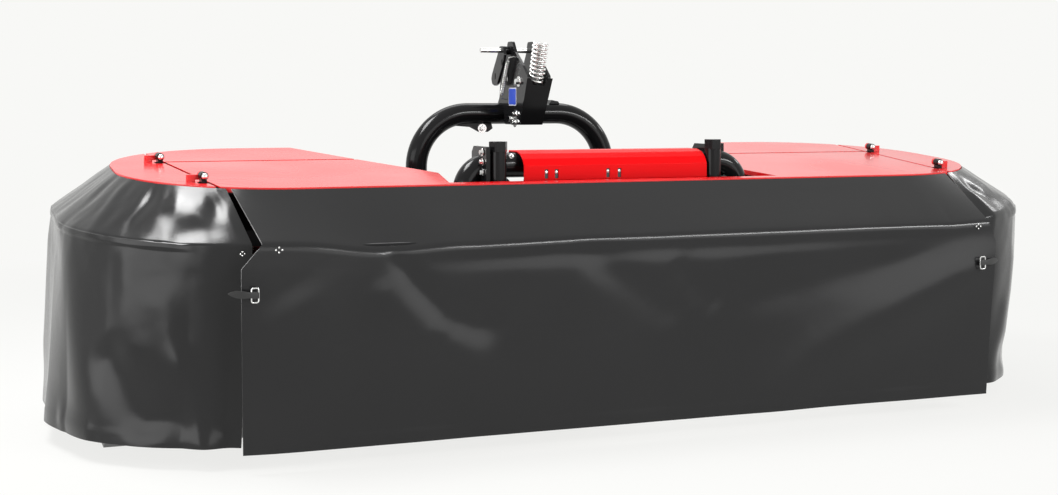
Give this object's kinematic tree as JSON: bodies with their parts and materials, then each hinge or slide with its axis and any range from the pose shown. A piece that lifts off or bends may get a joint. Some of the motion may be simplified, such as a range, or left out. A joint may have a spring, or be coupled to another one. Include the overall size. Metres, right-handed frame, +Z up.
{
  "type": "disc mower",
  "caption": "Front-mounted disc mower: oval discs on a low cutter bar under a folding red cover with black aprons, carried by an arched three-point headstock.",
  "frame": {"origin": "on the ground under the middle of the whole outline", "axes": "+X across the mower, -Y the way it travels, +Z up; the headstock is at +Y"},
  "size_m": [2.6, 1.2219, 0.9439],
  "materials": {
    "red_paint": "glossy red paint",
    "black_paint": "glossy black paint",
    "disc_paint": "black paint, worn at the edges",
    "dark_steel": "dark painted steel",
    "cast_black": "black painted casting",
    "zinc_steel": "bright zinc plate",
    "knife_steel": "ground steel",
    "black_plastic": "moulded",
    "black_vinyl": "glossy coated cloth"
  },
  "bodies": {
    "frame": {"arch": "black_paint", "beam_cover": "red_paint", "cover_rails": "black_paint", "cross_tube": "black_paint", "cutter_bar": "dark_steel", "drive_housings": "black_paint", "front_beam": "black_paint", "gearboxes": "cast_black", "head": "black_paint", "head_rods": "zinc_steel", "head_spring": "zinc_steel", "hinge_pins": "zinc_steel", "hitch_pins": "zinc_steel", "main_beam": "black_paint", "pull_arms": "black_paint", "rear_aprons": "black_vinyl", "rear_plates": "red_paint", "shaft_guard": "black_plastic", "skids": "dark_steel", "swath_boards": "black_paint"},
    "front_guard": {"front_plate": "red_paint", "front_rail": "black_paint", "front_apron_top": "black_vinyl", "front_apron_skirt": "black_vinyl"},
    "left_guard": {"side_plate_left": "red_paint", "side_rail_left": "black_paint", "side_apron_left": "black_vinyl"},
    "right_guard": {"side_plate_right": "red_paint", "side_rail_right": "black_paint", "side_apron_right": "black_vinyl"},
    "disc_unit_1": {"disc_1": "disc_paint", "knives_1": "knife_steel", "drum_1": "disc_paint"},
    "disc_unit_2": {"disc_2": "disc_paint", "knives_2": "knife_steel"},
    "disc_unit_3": {"disc_3": "disc_paint", "knives_3": "knife_steel"},
    "disc_unit_4": {"disc_4": "disc_paint", "knives_4": "knife_steel"},
    "disc_unit_5": {"disc_5": "disc_paint", "knives_5": "knife_steel"},
    "disc_unit_6": {"disc_6": "disc_paint", "knives_6": "knife_steel", "drum_6": "disc_paint"},
    "input": {"input_shaft": "zinc_steel"},
    "left_stand": {"stand_left": "black_paint"},
    "right_stand": {"stand_right": "black_paint"}
  },
  "joints": [
    {"name": "front_guard_hinge", "type": "hinge", "parent": "frame", "child": "front_guard", "pos_m": [0, 0.03788, 0.60631], "axis": [-1, 0, 0], "range_deg": [0, 90]},
    {"name": "left_guard_hinge", "type": "hinge", "parent": "frame", "child": "left_guard", "pos_m": [-0.97704, -0.34345, 0.60973], "axis": [-0.1191, 0.9901, 0.0744], "range_deg": [0, 90]},
    {"name": "right_guard_hinge", "type": "hinge", "parent": "frame", "child": "right_guard", "pos_m": [0.97704, -0.34345, 0.60973], "axis": [-0.1191, -0.9901, -0.0744], "range_deg": [0, 90]},
    {"name": "disc_1_spin", "type": "hinge", "parent": "frame", "child": "disc_unit_1", "pos_m": [-0.9875, -0.179, 0.08], "axis": [0, 0, 1], "continuous": true},
    {"name": "disc_2_spin", "type": "hinge", "parent": "frame", "child": "disc_unit_2", "pos_m": [-0.5925, -0.179, 0.08], "axis": [0, 0, 1], "continuous": true},
    {"name": "disc_3_spin", "type": "hinge", "parent": "frame", "child": "disc_unit_3", "pos_m": [-0.1975, -0.179, 0.08], "axis": [0, 0, 1], "continuous": true},
    {"name": "disc_4_spin", "type": "hinge", "parent": "frame", "child": "disc_unit_4", "pos_m": [0.1975, -0.179, 0.08], "axis": [0, 0, 1], "continuous": true},
    {"name": "disc_5_spin", "type": "hinge", "parent": "frame", "child": "disc_unit_5", "pos_m": [0.5925, -0.179, 0.08], "axis": [0, 0, 1], "continuous": true},
    {"name": "disc_6_spin", "type": "hinge", "parent": "frame", "child": "disc_unit_6", "pos_m": [0.9875, -0.179, 0.08], "axis": [0, 0, 1], "continuous": true},
    {"name": "input_spin", "type": "hinge", "parent": "frame", "child": "input", "pos_m": [0, 0.3, 0.4], "axis": [0, 1, 0], "continuous": true},
    {"name": "left_stand_hinge", "type": "hinge", "parent": "frame", "child": "left_stand", "pos_m": [-0.18, 0.321, 0.214], "axis": [1, 0, 0], "range_deg": [0, 90]},
    {"name": "right_stand_hinge", "type": "hinge", "parent": "frame", "child": "right_stand", "pos_m": [0.18, 0.321, 0.214], "axis": [1, 0, 0], "range_deg": [0, 90]}
  ],
  "couplings": [
    {"joint": "disc_2_spin", "follows": "disc_1_spin", "ratio": -1},
    {"joint": "disc_3_spin", "follows": "disc_1_spin", "ratio": 1},
    {"joint": "disc_4_spin", "follows": "disc_1_spin", "ratio": -1},
    {"joint": "disc_5_spin", "follows": "disc_1_spin", "ratio": 1},
    {"joint": "disc_6_spin", "follows": "disc_1_spin", "ratio": -1},
    {"joint": "input_spin", "follows": "disc_1_spin", "ratio": 0.3333}
  ]
}
